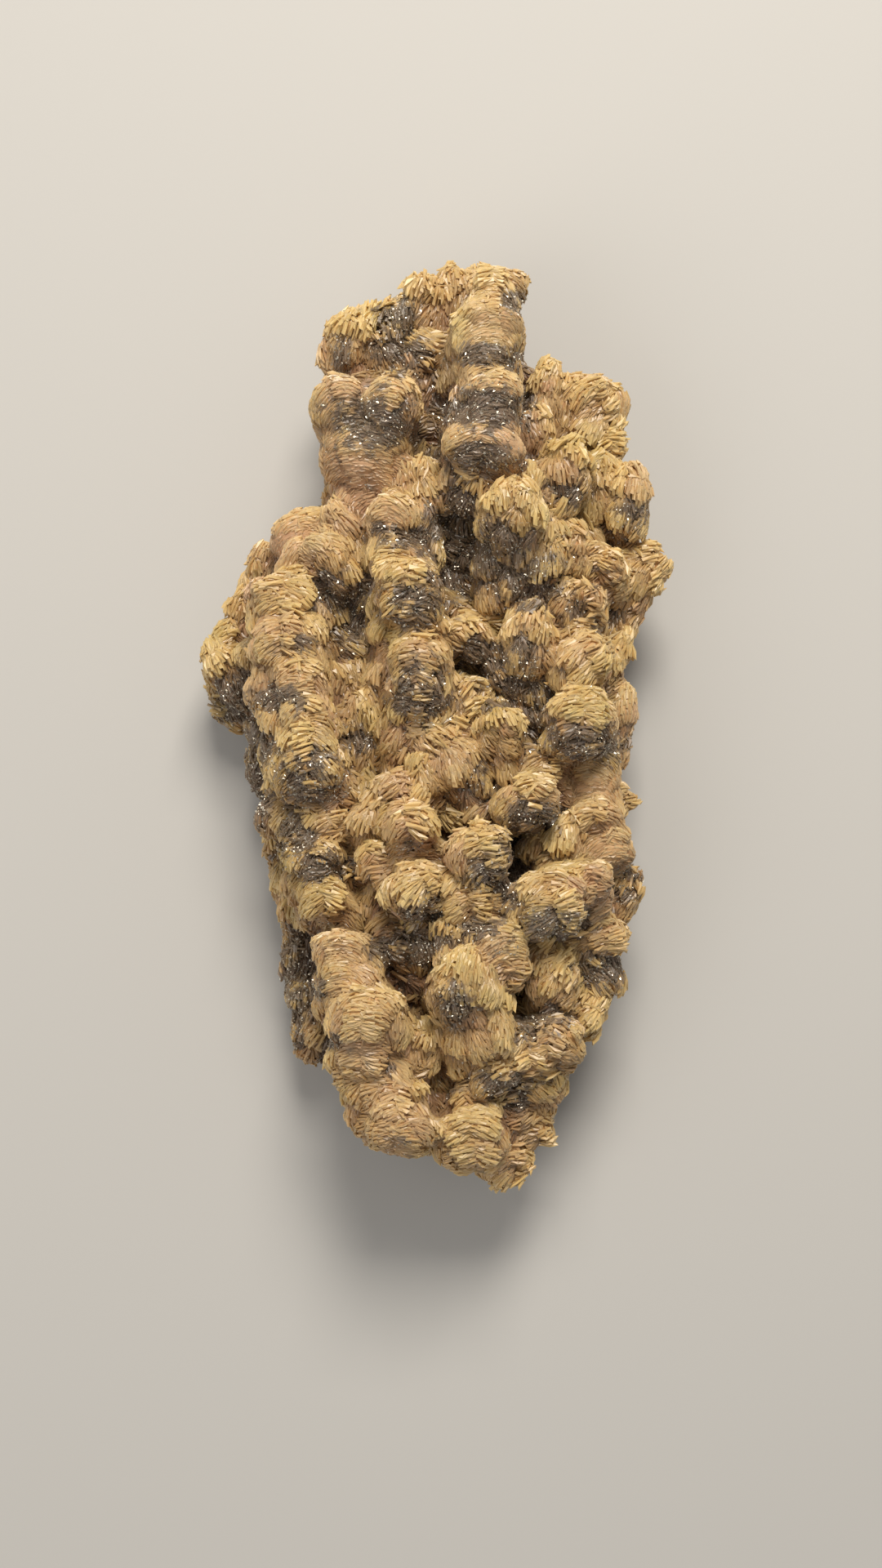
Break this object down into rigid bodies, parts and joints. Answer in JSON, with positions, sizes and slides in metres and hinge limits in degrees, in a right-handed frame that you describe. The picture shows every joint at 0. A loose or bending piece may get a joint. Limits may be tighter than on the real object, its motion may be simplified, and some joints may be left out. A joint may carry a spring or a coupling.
{
  "type": "mineral specimen",
  "caption": "Natural cluster of golden-brown bladed barite in knobbly columns, dusted with dark glittering pyrite, lying on its flat broken back.",
  "frame": {"origin": "centre of the bounding box, on the flat broken back that the specimen lies on", "axes": "+Y towards the crown, the narrow top end as it is held up; +X to the specimen's right as its front is seen; +Z out of the front"},
  "size_m": [0.0972, 0.1896, 0.0496],
  "materials": {
    "barite": "rough bladed barite, golden brown, with dark grey pyrite grains on the lower sides of its lumps"
  },
  "bodies": {
    "root": {"barite_pyrite_specimen": "barite"}
  },
  "joints": []
}
